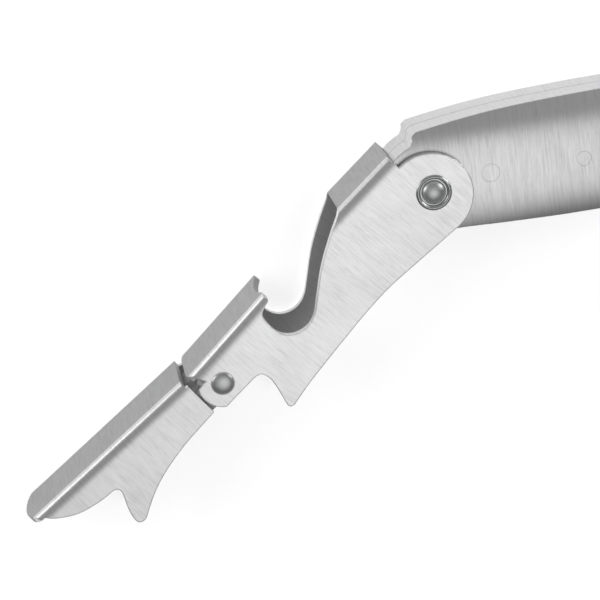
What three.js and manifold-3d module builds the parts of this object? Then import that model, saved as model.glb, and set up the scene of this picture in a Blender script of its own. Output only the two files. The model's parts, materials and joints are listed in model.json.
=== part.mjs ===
// Waiter's friend corkscrew in pressed stainless sheet, lying on its side.
// Millimetres. +Z goes through the thickness, +X runs from the lever pivot along the handle
// to its rear end, and +Y points to the spine. Shapes are drawn about the lever pivot, and
// the finished group is moved so that the origin is the middle of the underside.
import * as THREE from "three";
import { mergeVertices } from "three/addons/utils/BufferGeometryUtils.js";
import Module from "manifold-3d";

const wasm = await Module();
wasm.setup();

// Handle: two pressed half shells
const HANDLE_WIDTH = 10.3;
const SHELL_SHEET = 1.0;
const HANDLE_REAR = 104;
const SPINE_HEIGHT = 12.9;
const NOSE_RADIUS = 8.8;
const NOSE_FLANGE_END_DEG = 215;
const NOSE_STEP_DEG = 110;
const NOSE_BELLY_DEG = -120;
const SLOT_WIDTH = 2.0;
const SLOT_START = 49;

// Spine and belly of the handle, from the nose step to the rear end and back:
// shares of the handle's reach and of the spine's height or the belly's depth
const SPINE_SHARES = [
  [0.055, 0.912],
  [0.13, 0.966],
  [0.225, 0.994],
  [0.34, 1.0],
  [0.5, 0.972],
  [0.66, 0.893],
  [0.8, 0.775],
  [0.9, 0.69],
  [0.965, 0.53],
  [1.0, 0.16],
];
const BELLY_SHARES = [
  [0.978, -0.2],
  [0.92, -0.46],
  [0.8, -0.7],
  [0.64, -0.885],
  [0.48, -0.97],
  [0.34, -1.01],
  [0.225, -1.0],
  [0.12, -0.948],
  [0.068, -0.91],
  [0.04, -0.895],
  [0.0, -0.895],
];
// Corner where the spine steps down to the nose: shares of the same reach and height
const STEP_SHARES = [
  [-0.0238, 0.729],
  [-0.0232, 0.787],
  [-0.0148, 0.838],
];

// Lever: two hinged channels bent from one sheet gauge, straddling the handle
const LEVER_SHEET = 1.3;
const BEND_DEPTH = 1.0;
const BEND_SPAN = 2.8;
const BEND_INSIDE = 0.3;
const PIVOT_WASHER_THICKNESS = 0.4;
const PIVOT_WASHER_RADIUS = 4.6;
const NOSE_GAP = 0.3;
const LEVER_OPEN_DEG = 40.1;
const WEB_HEIGHT = 10.85;
const WEB_START = 0.75;
const UPPER_WEB_LENGTH = 12.4;
const FOLDED_GAP = 0.95;
const DISC_RADIUS = 7.65;
const DISC_OFFSET = 0.8;
const DISC_ROOT_HEIGHT = 7.75;
const DISC_TOP_DEG = 88;
const DISC_BOTTOM_DEG = -94;
const HINGE_REACH = 49.65;
const HINGE_BELOW_WEB = 5.25;
const CHEEK_END_RADIUS = 4.45;
const WEB_END_PAST_HINGE = 3.65;
const WEB_CORNER_ALONG = 2.3;
const WEB_CORNER_ACROSS = 3.0;
const LIP_HOLLOW = 1.1;
const LIP_HOLLOW_WIDTH = 9.6;

// Lower edge of the first channel, from the pivot disc to the bottle notch and on to the
// hinge, and the crown cap hook: shares of the hinge reach and of the web height
const FIRST_EDGE_SHARES = [
  [-0.24, -0.578],
  [-0.36, -0.516],
  [-0.48, -0.509],
  [-0.63, -0.54],
  [-0.785, -0.585],
  [-0.885, -0.638],
];
const FIRST_TOOTH_SHARES = [
  [-0.9, -0.646],
  [-0.915, -0.6],
  [-0.911, -0.498],
  [-0.894, -0.28],
  [-0.8815, -0.07],
  [-0.884, 0.095],
  [-0.9, 0.158],
  [-0.925, 0.175],
];
const CHEEK_FOOT_SHARE = [-1.028, 0.196];
const HOOK_SHARES = [
  [-0.285, 0.94],
  [-0.365, 0.782],
  [-0.46, 0.56],
  [-0.555, 0.27],
  [-0.6, 0.135],
  [-0.645, 0.08],
  [-0.69, 0.13],
  [-0.722, 0.262],
  [-0.735, 0.45],
  [-0.731, 0.66],
  [-0.715, 0.8],
];
const LIP_START_SHARE = 0.666;
const LIP_UNDERSIDE_SHARE = 0.868;

// Second channel, drawn about the hinge
const SECOND_TILT_DEG = -5.8;
const TIP_REACH = 42.7;
const TIP_BULGE = 3.2;
const TOOTH_DROP = 8.95;
const JOGGLE_REACH = 4.75;
const JOGGLE_LENGTH = 1.4;
const SECOND_WEB_START = 5.35;
const LUG_RADIUS = 3.0;
const LUG_GAP = 0.1;
const SWING_OUT_DEG = 19;
const STOP_TONGUE_GAP = 0.1;
const STOP_TONGUE_LAP = 1.1;
const STOP_TONGUE_WIDTH = 6;
const STOP_TONGUE_ROOT = 1.6;

// Lower edge of the second channel from the joggle to the tip: shares of the tip reach and
// of the tooth's drop
const SECOND_EDGE_SHARES = [
  [-0.1112, -0.32],
  [-0.2, -0.36],
  [-0.3, -0.415],
  [-0.424, -0.542],
  [-0.52, -0.705],
  [-0.6, -0.905],
];
const SECOND_TOOTH_SHARES = [
  [-0.637, -1.0],
  [-0.665, -0.965],
  [-0.6705, -0.83],
  [-0.6565, -0.59],
  [-0.633, -0.35],
  [-0.6245, -0.24],
  [-0.6275, -0.15],
  [-0.645, -0.1],
];
const SECOND_BOW_SHARES = [
  [-0.7, -0.088],
  [-0.75, -0.047],
  [-0.8, 0.013],
  [-0.846, 0.113],
  [-0.9, 0.3],
  [-0.9265, 0.441],
];

// Rivets, collars and spacers
const COLLAR_RADIUS = 3.2;
const COLLAR_HEIGHT = 0.35;
const COLLAR_BARREL_RADIUS = 2.8;
const COLLAR_DISH_DEPTH = 0.3;
const COLLAR_MOAT = 0.22;
const PIVOT_HEAD_RADIUS = 2.2;
const PIVOT_HEAD_HEIGHT = 0.95;
const PIVOT_SHANK_RADIUS = 1.6;
const PIVOT_BUSH_RADIUS = 3.2;
const HINGE_HEAD_RADIUS = 2.15;
const HINGE_HEAD_HEIGHT = 0.6;
const HINGE_SHANK_RADIUS = 1.3;
const HINGE_SPACER_RADIUS = 2.0;
const FRONT_RIVET_RADIUS = 1.6;
const FRONT_RIVET_ALONG = 10.7;
const FRONT_RIVET_UP = 1.25;
const FRONT_SPACER_RADIUS = 2.8;
const REAR_RIVET_RADIUS = 1.2;
const REAR_RIVET_ALONG = 86;
const REAR_RIVET_DOWN = 1.6;
const REAR_SPACER_RADIUS = 2.3;
const RUNNING_GAP = 0.1;
const FLUSH_INSET = 0.02;
const OVERRUN = 6;

// Worm, its hub and its pin
const WORM_PIVOT_ALONG = 27.5;
const WORM_RADIUS = 3.8;
const WIRE_RADIUS = 1.2;
const WORM_PITCH = 8.8;
const WORM_TURNS = 5;
const WORM_SHANK = 4.2;
const WORM_ENTRY = 3.2;
const WORM_TAPER_TURNS = 0.7;
const WORM_POINT_RADIUS = 0.12;
const WORM_CLEAR_OF_HINGE = 0.7;
const HUB_SIDE_GAP = 0.3;
const WORM_PIN_RADIUS = 1.3;
const WORM_WASHER_RADIUS = 2.6;
const SHANK_SOCKET_GAP = 0.12;
const SHANK_SOCKET_DEPTH = 1.6;

// Foil knife and back spring
const KNIFE_PIVOT_ALONG = 96.5;
const KNIFE_PIVOT_UP = 3.9;
const KNIFE_LENGTH = 46;
const BLADE_HEIGHT = 5.6;
const BLADE_GAP = 0.3;
const KNIFE_THICKNESS = 1.6;
const KNIFE_EDGE_THICKNESS = 0.35;
const KNIFE_BEVEL_HEIGHT = 1.6;
const TANG_RADIUS = 3.1;
const KNIFE_PIN_RADIUS = 1.2;
const KNIFE_HEAD_RADIUS = 2.0;
const KNIFE_HEAD_HEIGHT = 0.5;
const KNIFE_SPACER_RADIUS = 2.4;
const NAIL_NICK_RADIUS = 4.2;
const NAIL_NICK_DEPTH = 0.35;
const SPRING_THICKNESS = 1.1;
const SPRING_WIDTH = 6.4;
const SPRING_GAP = 0.4;
const SPRING_TAB_ALONG = 62;
const SPRING_TAB_LENGTH = 5;
const SPRING_TAB_DEPTH = 0.5;
const SPRING_END_GAP = 0.35;

// Folded blade, from the tang along its back to the tip and along its edge to the tang:
// shares of the knife's length and of the blade's height above its lowest line
const BLADE_BACK_SHARES = [
  [-0.12, 0.52],
  [-0.3, 0.7],
  [-0.5, 0.895],
  [-0.7, 1.035],
  [-0.86, 1.08],
  [-0.96, 0.98],
];
const BLADE_EDGE_SHARES = [
  [-1.0, 0.66],
  [-0.965, 0.3],
  [-0.86, 0.1],
  [-0.6, 0.02],
  [-0.3, 0],
  [-0.09, 0],
];

// Smoothness of round shapes
const ROUND_SIDES = 32;
const CURVE_STEPS = 8;
const DOME_STEPS = 6;
const WIRE_SIDES = 8;
const STEPS_PER_TURN = 16;

// Finest detail of a solid, and how near two corners are to be one
const SLIVER = 0.002;
const WELD = 0.0001;

// Sizes that follow from the ones above
const HANDLE_HALF = HANDLE_WIDTH / 2;
const CAVITY_HALF = HANDLE_HALF - SHELL_SHEET;
const LEVER_INNER_HALF = HANDLE_HALF + PIVOT_WASHER_THICKNESS;
const LEVER_HALF = LEVER_INNER_HALF + LEVER_SHEET;
const BELLY_DEPTH = WEB_HEIGHT - LEVER_SHEET - FOLDED_GAP;
const UPPER_WEB_HEIGHT = NOSE_RADIUS + NOSE_GAP + LEVER_SHEET;
const HINGE_HEIGHT = WEB_HEIGHT - HINGE_BELOW_WEB;
const SECOND_WEB_UNDERSIDE = HINGE_BELOW_WEB - LEVER_SHEET;
const LUG_OUTER = LEVER_INNER_HALF - LUG_GAP;
const LUG_INNER = LUG_OUTER - LEVER_SHEET;
const WORM_HEIGHT = HINGE_SPACER_RADIUS + WORM_CLEAR_OF_HINGE + WORM_RADIUS - HINGE_HEIGHT;
const HUB_HALF = CAVITY_HALF - HUB_SIDE_GAP;
const WORM_ENTRY_TURNS = WORM_ENTRY / WORM_PITCH;
const SPRING_BOTTOM = WORM_HEIGHT + WORM_RADIUS + SPRING_GAP;
const BLADE_FLOOR = SPRING_BOTTOM + SPRING_THICKNESS + BLADE_GAP - KNIFE_PIVOT_UP;

const rad = THREE.MathUtils.degToRad;

const steel = (name, color, roughness) => {
  const material = new THREE.MeshStandardMaterial({ color, roughness, metalness: 1 });
  material.name = name;
  return material;
};
const BRUSHED = steel("brushed_sheet", 0xc9cacb, 0.42);
const WEB_STEEL = steel("brushed_lever_sheet", 0xd6d7d8, 0.38);
const RIVET_STEEL = steel("rivet_steel", 0xb4b6b8, 0.3);
const HIDDEN_STEEL = steel("plain_steel", 0xa9abad, 0.45);
const POLISHED = steel("polished_worm_steel", 0xd2d4d6, 0.2);
const BLADE_STEEL = steel("blade_steel", 0xcfd1d3, 0.3);

// A closed geometry as a solid, with its faces turned outwards
function solidOf(geometry) {
  const bare = geometry.index ? geometry.toNonIndexed() : geometry.clone();
  for (const name of Object.keys(bare.attributes)) {
    if (name !== "position") bare.deleteAttribute(name);
  }
  const merged = mergeVertices(bare, WELD);
  const vertProperties = merged.attributes.position.array;
  const triVerts = new Uint32Array(merged.index.array);
  const made = new wasm.Manifold(new wasm.Mesh({ numProp: 3, vertProperties, triVerts }));
  if (made.volume() >= 0) return made;
  for (let i = 0; i < triVerts.length; i += 3) {
    [triVerts[i + 1], triVerts[i + 2]] = [triVerts[i + 2], triVerts[i + 1]];
  }
  return new wasm.Manifold(new wasm.Mesh({ numProp: 3, vertProperties, triVerts }));
}

function geometryOf(solid) {
  const { numProp, vertProperties, triVerts } = solid.getMesh();
  const positions = [];
  for (let i = 0; i < vertProperties.length; i += numProp) {
    positions.push(...vertProperties.slice(i, i + 3));
  }
  const geometry = new THREE.BufferGeometry();
  geometry.setAttribute("position", new THREE.Float32BufferAttribute(positions, 3));
  geometry.setIndex([...triVerts]);
  const faceted = geometry.toNonIndexed();
  faceted.computeVertexNormals();
  return faceted;
}

const join = (first, ...others) => others.reduce((sum, other) => sum.add(other), first);
const cut = (first, ...others) => others.reduce((rest, other) => rest.subtract(other), first);

// A plate with the given outline between two heights along Z
function plate(outline, low, high, steps = CURVE_STEPS) {
  const settings = { depth: high - low, bevelEnabled: false, curveSegments: steps };
  return solidOf(new THREE.ExtrudeGeometry(outline, settings).translate(0, 0, low));
}

function block(lowX, highX, lowY, highY, lowZ, highZ) {
  const outline = new THREE.Shape()
    .moveTo(lowX, lowY)
    .lineTo(highX, lowY)
    .lineTo(highX, highY)
    .lineTo(lowX, highY);
  return plate(outline, lowZ, highZ);
}

function disc(x, y, radius, low, high) {
  const geometry = new THREE.CylinderGeometry(radius, radius, high - low, ROUND_SIDES);
  return solidOf(geometry.rotateX(Math.PI / 2).translate(x, y, (low + high) / 2));
}

// A ring or pin turned about Z from a profile of radius and height pairs
function turned(profile, x = 0, y = 0) {
  const points = profile.map(([radius, height]) => new THREE.Vector2(radius, height));
  const geometry = new THREE.LatheGeometry(points, ROUND_SIDES);
  return solidOf(geometry.rotateX(Math.PI / 2).translate(x, y, 0));
}

function ring(x, y, inner, outer, low, high) {
  const profile = [
    [inner, low],
    [outer, low],
    [outer, high],
    [inner, high],
    [inner, low],
  ];
  return turned(profile, x, y);
}

// Height pairs of a low dome that ends on the axis
function domeProfile(radius, base, height) {
  const points = [];
  for (let i = 0; i <= DOME_STEPS; i += 1) {
    const angle = (i / DOME_STEPS) * (Math.PI / 2);
    const reach = i === DOME_STEPS ? 0 : radius * Math.cos(angle);
    points.push([reach, base + height * Math.sin(angle)]);
  }
  return points;
}

// A rivet through the full width with a low dome at each end
function domedRivet(shank, head, seat, height, x = 0, y = 0) {
  const dome = domeProfile(head, seat, height);
  const lower = dome.map(([radius, level]) => [radius, -level]).reverse();
  return turned([...lower, [shank, -seat], [shank, seat], ...dome], x, y);
}

// Points of an outline from their shares of a reach and of a height
const scaled = (shares, reach, height) =>
  shares.map(([along, up]) => new THREE.Vector2(along * reach, up * height));

function meshOf(name, solid, material) {
  const mesh = new THREE.Mesh(geometryOf(solid.asOriginal().simplify(SLIVER)), material);
  mesh.name = name;
  return mesh;
}

// The cross-section of a channel: web on top with rounded bends, two cheeks below
function channelPrism(webHeight, tiltDeg, originX, fromX, toX) {
  const outer = LEVER_HALF - BEND_DEPTH;
  const inner = LEVER_INNER_HALF - BEND_INSIDE;
  const foot = -webHeight - DISC_RADIUS - OVERRUN;
  const underside = -LEVER_SHEET - BEND_INSIDE;
  const section = new THREE.Shape()
    .moveTo(-LEVER_HALF, foot)
    .lineTo(-LEVER_HALF, -BEND_SPAN)
    .absellipse(-outer, -BEND_SPAN, BEND_DEPTH, BEND_SPAN, Math.PI, Math.PI / 2, true)
    .lineTo(outer, 0)
    .absellipse(outer, -BEND_SPAN, BEND_DEPTH, BEND_SPAN, Math.PI / 2, 0, true)
    .lineTo(LEVER_HALF, foot)
    .lineTo(LEVER_INNER_HALF, foot)
    .lineTo(LEVER_INNER_HALF, underside)
    .absarc(inner, underside, BEND_INSIDE, 0, Math.PI / 2, false)
    .lineTo(-inner, -LEVER_SHEET)
    .absarc(-inner, underside, BEND_INSIDE, Math.PI / 2, Math.PI, false)
    .lineTo(-LEVER_INNER_HALF, foot);
  const settings = { depth: toX - fromX, bevelEnabled: false, curveSegments: CURVE_STEPS };
  const geometry = new THREE.ExtrudeGeometry(section, settings)
    .rotateY(Math.PI / 2)
    .translate(fromX, 0, 0)
    .rotateZ(rad(tiltDeg))
    .translate(originX, webHeight, 0);
  return solidOf(geometry);
}

// A cutter that rounds one end of a web as seen from above the web
function webEndCutter(endX, alongX, across, low, high, towards) {
  const corner = new THREE.Shape().moveTo(endX + towards * OVERRUN, LEVER_HALF + OVERRUN);
  corner.lineTo(endX - towards * alongX, LEVER_HALF + OVERRUN);
  corner.lineTo(endX - towards * alongX, LEVER_HALF);
  for (let i = 1; i <= CURVE_STEPS; i += 1) {
    const angle = (i / CURVE_STEPS) * (Math.PI / 2);
    const x = endX - towards * alongX * (1 - Math.sin(angle));
    corner.lineTo(x, LEVER_HALF - across * (1 - Math.cos(angle)));
  }
  corner.lineTo(endX + towards * OVERRUN, LEVER_HALF - across);
  const settings = { depth: high - low, bevelEnabled: false };
  const upper = new THREE.ExtrudeGeometry(corner, settings).rotateX(Math.PI / 2).translate(0, high, 0);
  const lower = upper.clone().scale(1, 1, -1);
  return join(solidOf(upper), solidOf(lower));
}

const handlePoints = () => ({
  step: scaled(STEP_SHARES, HANDLE_REAR, SPINE_HEIGHT),
  spine: scaled(SPINE_SHARES, HANDLE_REAR, SPINE_HEIGHT),
  belly: scaled(BELLY_SHARES, HANDLE_REAR, BELLY_DEPTH),
});

// Side outline of the handle about the pivot
function handleOutline() {
  const { step, spine, belly } = handlePoints();
  return new THREE.Shape()
    .absarc(0, 0, NOSE_RADIUS, rad(NOSE_BELLY_DEG), rad(NOSE_STEP_DEG), true)
    .splineThru(step)
    .splineThru([...spine, ...belly]);
}

// Points of a line moved to its right by a distance; the two end points are left out
function insetPoints(points, distance) {
  return points.slice(1, -1).map((point, i) => {
    const along = new THREE.Vector2().subVectors(points[i + 2], points[i]).normalize();
    return new THREE.Vector2(point.x + along.y * distance, point.y - along.x * distance);
  });
}

// Hollow of a shell: nose, step and spine moved in by one sheet, and open along the belly
function hollowOutline() {
  const { step, spine, belly } = handlePoints();
  const radius = NOSE_RADIUS - SHELL_SHEET;
  const stepAngle = rad(NOSE_STEP_DEG);
  const start = new THREE.Vector2(NOSE_RADIUS * Math.cos(stepAngle), NOSE_RADIUS * Math.sin(stepAngle));
  const innerStep = insetPoints([start, ...step, spine[0]], SHELL_SHEET);
  const innerSpine = insetPoints([step[step.length - 1], ...spine, belly[0]], SHELL_SHEET);
  const rear = innerSpine[innerSpine.length - 1];
  const floor = -BELLY_DEPTH - OVERRUN;
  const flangeEnd = rad(NOSE_FLANGE_END_DEG);
  return new THREE.Shape()
    .moveTo(radius * Math.cos(flangeEnd), floor)
    .lineTo(radius * Math.cos(flangeEnd), radius * Math.sin(flangeEnd))
    .absarc(0, 0, radius, flangeEnd, stepAngle, true)
    .splineThru(innerStep)
    .splineThru(innerSpine)
    .lineTo(rear.x, floor);
}

// Scallop in both walls that clears the hinge lugs of the folded lever
function hingeScallop() {
  const low = -BELLY_DEPTH - OVERRUN;
  const top = LUG_RADIUS - HINGE_HEIGHT + WORM_CLEAR_OF_HINGE;
  const corner = LUG_RADIUS / 2;
  const left = HINGE_REACH - LUG_RADIUS - WORM_CLEAR_OF_HINGE;
  const right = HINGE_REACH + JOGGLE_REACH + JOGGLE_LENGTH + WORM_CLEAR_OF_HINGE;
  const shape = new THREE.Shape()
    .moveTo(left, low)
    .lineTo(right, low)
    .lineTo(right, top - corner)
    .absarc(right - corner, top - corner, corner, 0, Math.PI / 2, false)
    .absarc(left + corner, top - corner, corner, Math.PI / 2, Math.PI, false);
  return plate(shape, -HANDLE_HALF - OVERRUN, HANDLE_HALF + OVERRUN);
}

function handleShell() {
  const body = plate(handleOutline(), 0, HANDLE_HALF);
  const hollow = plate(hollowOutline(), -OVERRUN, CAVITY_HALF);
  const slotFloor = -BELLY_DEPTH - OVERRUN;
  const slotTop = SPINE_HEIGHT + OVERRUN;
  const slot = block(SLOT_START, HANDLE_REAR + OVERRUN, slotFloor, slotTop, -OVERRUN, SLOT_WIDTH / 2);
  const hole = (x, y, radius) => disc(x, y, radius, -OVERRUN, HANDLE_HALF + OVERRUN);
  const holes = [
    hole(0, 0, PIVOT_SHANK_RADIUS + RUNNING_GAP),
    hole(FRONT_RIVET_ALONG, FRONT_RIVET_UP, FRONT_RIVET_RADIUS + FLUSH_INSET),
    hole(REAR_RIVET_ALONG, -REAR_RIVET_DOWN, REAR_RIVET_RADIUS + FLUSH_INSET),
    hole(WORM_PIVOT_ALONG, WORM_HEIGHT, WORM_PIN_RADIUS + FLUSH_INSET),
    hole(KNIFE_PIVOT_ALONG, KNIFE_PIVOT_UP, KNIFE_PIN_RADIUS + FLUSH_INSET),
  ];
  const tabLeft = SPRING_TAB_ALONG - SPRING_TAB_LENGTH / 2 - RUNNING_GAP;
  const tabRight = SPRING_TAB_ALONG + SPRING_TAB_LENGTH / 2 + RUNNING_GAP;
  const tabLow = SPRING_BOTTOM - RUNNING_GAP;
  const tabHigh = SPRING_BOTTOM + SPRING_THICKNESS + RUNNING_GAP;
  const tabPocket = block(tabLeft, tabRight, tabLow, tabHigh, 0, CAVITY_HALF + SPRING_TAB_DEPTH);
  return cut(body, hollow, slot, hingeScallop(), tabPocket, ...holes);
}

// Side outline of the first channel, about the pivot, with the lever running to -X
function firstOutline() {
  const top = WEB_HEIGHT + OVERRUN;
  const edge = scaled(FIRST_EDGE_SHARES, HINGE_REACH, WEB_HEIGHT);
  const tooth = scaled(FIRST_TOOTH_SHARES, HINGE_REACH, WEB_HEIGHT);
  const [foot] = scaled([CHEEK_FOOT_SHARE], HINGE_REACH, WEB_HEIGHT);
  const hook = scaled(HOOK_SHARES, HINGE_REACH, WEB_HEIGHT).reverse();
  const webEnd = -HINGE_REACH - WEB_END_PAST_HINGE;
  const underside = WEB_HEIGHT - LEVER_SHEET;
  const footAngle = Math.PI + Math.asin((HINGE_HEIGHT - foot.y) / CHEEK_END_RADIUS);
  const headAngle = Math.PI - Math.asin((underside - HINGE_HEIGHT) / CHEEK_END_RADIUS);
  const discTop = rad(DISC_TOP_DEG);
  const discLeft = -DISC_OFFSET + DISC_RADIUS * Math.cos(discTop);
  const discUp = DISC_RADIUS * Math.sin(discTop);
  return new THREE.Shape()
    .moveTo(-WEB_START, top)
    .lineTo(-WEB_START, DISC_ROOT_HEIGHT)
    .quadraticCurveTo(-WEB_START, discUp, discLeft, discUp)
    .absarc(-DISC_OFFSET, 0, DISC_RADIUS, discTop, rad(DISC_BOTTOM_DEG), true)
    .splineThru(edge)
    .splineThru(tooth)
    .lineTo(foot.x, foot.y)
    .absarc(-HINGE_REACH, HINGE_HEIGHT, CHEEK_END_RADIUS, footAngle, headAngle, true)
    .lineTo(webEnd, underside)
    .lineTo(webEnd, top)
    .lineTo(-LIP_START_SHARE * HINGE_REACH, top)
    .lineTo(-LIP_START_SHARE * HINGE_REACH, LIP_UNDERSIDE_SHARE * WEB_HEIGHT)
    .splineThru(hook)
    .lineTo(-WEB_START - UPPER_WEB_LENGTH, WEB_HEIGHT)
    .lineTo(-WEB_START - UPPER_WEB_LENGTH, top);
}

// Round cutter that hollows the cap lifting lip between its two horns
function lipCutter() {
  const radius = (LIP_HOLLOW_WIDTH ** 2 / 4 + LIP_HOLLOW ** 2) / (2 * LIP_HOLLOW);
  const low = WEB_HEIGHT - LEVER_SHEET - BEND_SPAN;
  const height = LEVER_SHEET + BEND_SPAN + OVERRUN;
  const geometry = new THREE.CylinderGeometry(radius, radius, height, ROUND_SIDES * 2);
  const lip = -LIP_START_SHARE * HINGE_REACH;
  const round = solidOf(geometry.translate(lip - LIP_HOLLOW + radius, low + height / 2, 0));
  return round.intersect(block(lip - OVERRUN, lip + RUNNING_GAP, low, low + height, -LEVER_HALF, LEVER_HALF));
}

// Tongue stepped down from the first web: the second web rests on it when straight
function stopTongue() {
  const webEnd = -HINGE_REACH - WEB_END_PAST_HINGE;
  const tip = -HINGE_REACH - SECOND_WEB_START - STOP_TONGUE_LAP;
  const high = WEB_HEIGHT - LEVER_SHEET - STOP_TONGUE_GAP;
  const half = STOP_TONGUE_WIDTH / 2;
  const rootTop = WEB_HEIGHT - STOP_TONGUE_GAP;
  const lap = block(tip, webEnd + STOP_TONGUE_ROOT, high - LEVER_SHEET, high, -half, half);
  const root = block(webEnd, webEnd + STOP_TONGUE_ROOT, high - LEVER_SHEET, rootTop, -half, half);
  return join(lap, root);
}

function firstLever() {
  const middle = -(WEB_START + UPPER_WEB_LENGTH + LIP_START_SHARE * HINGE_REACH) / 2;
  const rise = WEB_HEIGHT - UPPER_WEB_HEIGHT;
  const tiltDeg = -THREE.MathUtils.radToDeg(Math.atan(rise / UPPER_WEB_LENGTH));
  const upper = channelPrism(UPPER_WEB_HEIGHT, tiltDeg, -WEB_START, middle, DISC_RADIUS + OVERRUN);
  const lower = channelPrism(WEB_HEIGHT, 0, 0, -HINGE_REACH - OVERRUN, middle);
  const outline = plate(firstOutline(), -LEVER_HALF, LEVER_HALF);
  const body = join(upper, lower).intersect(outline);
  const webEnd = -HINGE_REACH - WEB_END_PAST_HINGE;
  const low = WEB_HEIGHT - BEND_SPAN;
  const corners = webEndCutter(webEnd, WEB_CORNER_ALONG, WEB_CORNER_ACROSS, low, WEB_HEIGHT + OVERRUN, -1);
  const hookEnd = -WEB_START - UPPER_WEB_LENGTH;
  const sheetLow = WEB_HEIGHT - LEVER_SHEET - BEND_INSIDE;
  const top = WEB_HEIGHT + OVERRUN;
  const square = block(hookEnd - OVERRUN, hookEnd, sheetLow, top, -LEVER_INNER_HALF, LEVER_INNER_HALF);
  const past = LEVER_HALF + OVERRUN;
  const pivotHole = disc(0, 0, COLLAR_BARREL_RADIUS + RUNNING_GAP, -past, past);
  const hingeHole = disc(-HINGE_REACH, HINGE_HEIGHT, HINGE_SHANK_RADIUS + FLUSH_INSET, -past, past);
  return join(cut(body, square, corners, lipCutter(), pivotHole, hingeHole), stopTongue());
}

// Side outline of the second channel's full-width part, about the hinge
function secondOutline() {
  const top = HINGE_BELOW_WEB + OVERRUN;
  const edge = scaled(SECOND_EDGE_SHARES, TIP_REACH, TOOTH_DROP);
  const tooth = scaled(SECOND_TOOTH_SHARES, TIP_REACH, TOOTH_DROP);
  const bow = scaled(SECOND_BOW_SHARES, TIP_REACH, TOOTH_DROP);
  return new THREE.Shape()
    .moveTo(-SECOND_WEB_START, top)
    .lineTo(-SECOND_WEB_START, SECOND_WEB_UNDERSIDE)
    .lineTo(-JOGGLE_REACH, SECOND_WEB_UNDERSIDE - BEND_INSIDE / 2)
    .lineTo(-JOGGLE_REACH, edge[0].y)
    .lineTo(edge[0].x, edge[0].y)
    .splineThru(edge.slice(1))
    .splineThru(tooth)
    .splineThru(bow)
    .lineTo(-TIP_REACH - OVERRUN, SECOND_WEB_UNDERSIDE)
    .lineTo(-TIP_REACH - OVERRUN, top);
}

// Lug that enters the first channel: round about the hinge and bridged to its cheek
function hingeLug() {
  const swing = rad(SWING_OUT_DEG) + Math.PI / 2;
  const bridge = JOGGLE_REACH + JOGGLE_LENGTH;
  const foot = SECOND_EDGE_SHARES[0][1] * TOOTH_DROP;
  const startX = LUG_RADIUS * Math.cos(swing);
  const startY = LUG_RADIUS * Math.sin(swing);
  const slope = Math.tan(rad(SWING_OUT_DEG));
  const outline = (reach) =>
    new THREE.Shape()
      .moveTo(-reach, startY - (reach + startX) * slope)
      .lineTo(-reach, foot)
      .lineTo(-LUG_RADIUS, foot)
      .absarc(0, 0, LUG_RADIUS, Math.PI + Math.asin(-foot / LUG_RADIUS), 2 * Math.PI + swing, false);
  const lug = plate(outline(bridge), LUG_INNER, LUG_OUTER);
  const bridgeHigh = startY - (bridge + startX) * slope;
  const step = block(-bridge, -JOGGLE_REACH, foot, bridgeHigh, LUG_INNER, LEVER_HALF);
  return join(lug, step);
}

function secondLever() {
  const channel = channelPrism(HINGE_BELOW_WEB, 0, 0, -TIP_REACH - OVERRUN, OVERRUN);
  const body = channel.intersect(plate(secondOutline(), -LEVER_HALF, LEVER_HALF));
  const low = -OVERRUN;
  const high = HINGE_BELOW_WEB + OVERRUN;
  const tip = webEndCutter(-TIP_REACH, TIP_BULGE, LEVER_HALF, low, high, -1);
  const lug = hingeLug();
  const hole = disc(0, 0, HINGE_SHANK_RADIUS + RUNNING_GAP, -LEVER_HALF - OVERRUN, LEVER_HALF + OVERRUN);
  return cut(join(body.subtract(tip), lug, lug.mirror([0, 0, 1])), hole);
}

// Worm: a wire helix along +X from its hub, tapered to a point
class WormCurve extends THREE.Curve {
  getPoint(share, target = new THREE.Vector3()) {
    const turns = share * WORM_TURNS;
    const angle = turns * 2 * Math.PI;
    const reach = WORM_RADIUS - WIRE_RADIUS;
    const swell = Math.min(1, turns / WORM_ENTRY_TURNS);
    const radius = reach * swell * (2 - swell);
    const x = WORM_RADIUS + WORM_SHANK + turns * WORM_PITCH;
    return target.set(x, radius * Math.cos(angle), radius * Math.sin(angle));
  }
}

function wormWire() {
  const curve = new WormCurve();
  const steps = WORM_TURNS * STEPS_PER_TURN;
  const centres = [new THREE.Vector3(WORM_RADIUS - SHANK_SOCKET_DEPTH + SHANK_SOCKET_GAP, 0, 0)];
  const radii = [WIRE_RADIUS];
  for (let i = 0; i <= steps; i += 1) {
    centres.push(curve.getPoint(i / steps));
    const turnsLeft = (1 - i / steps) * WORM_TURNS;
    const taper = Math.min(1, turnsLeft / WORM_TAPER_TURNS);
    radii.push(WORM_POINT_RADIUS + (WIRE_RADIUS - WORM_POINT_RADIUS) * taper);
  }
  return solidOf(tubeGeometry(centres, radii));
}

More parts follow.
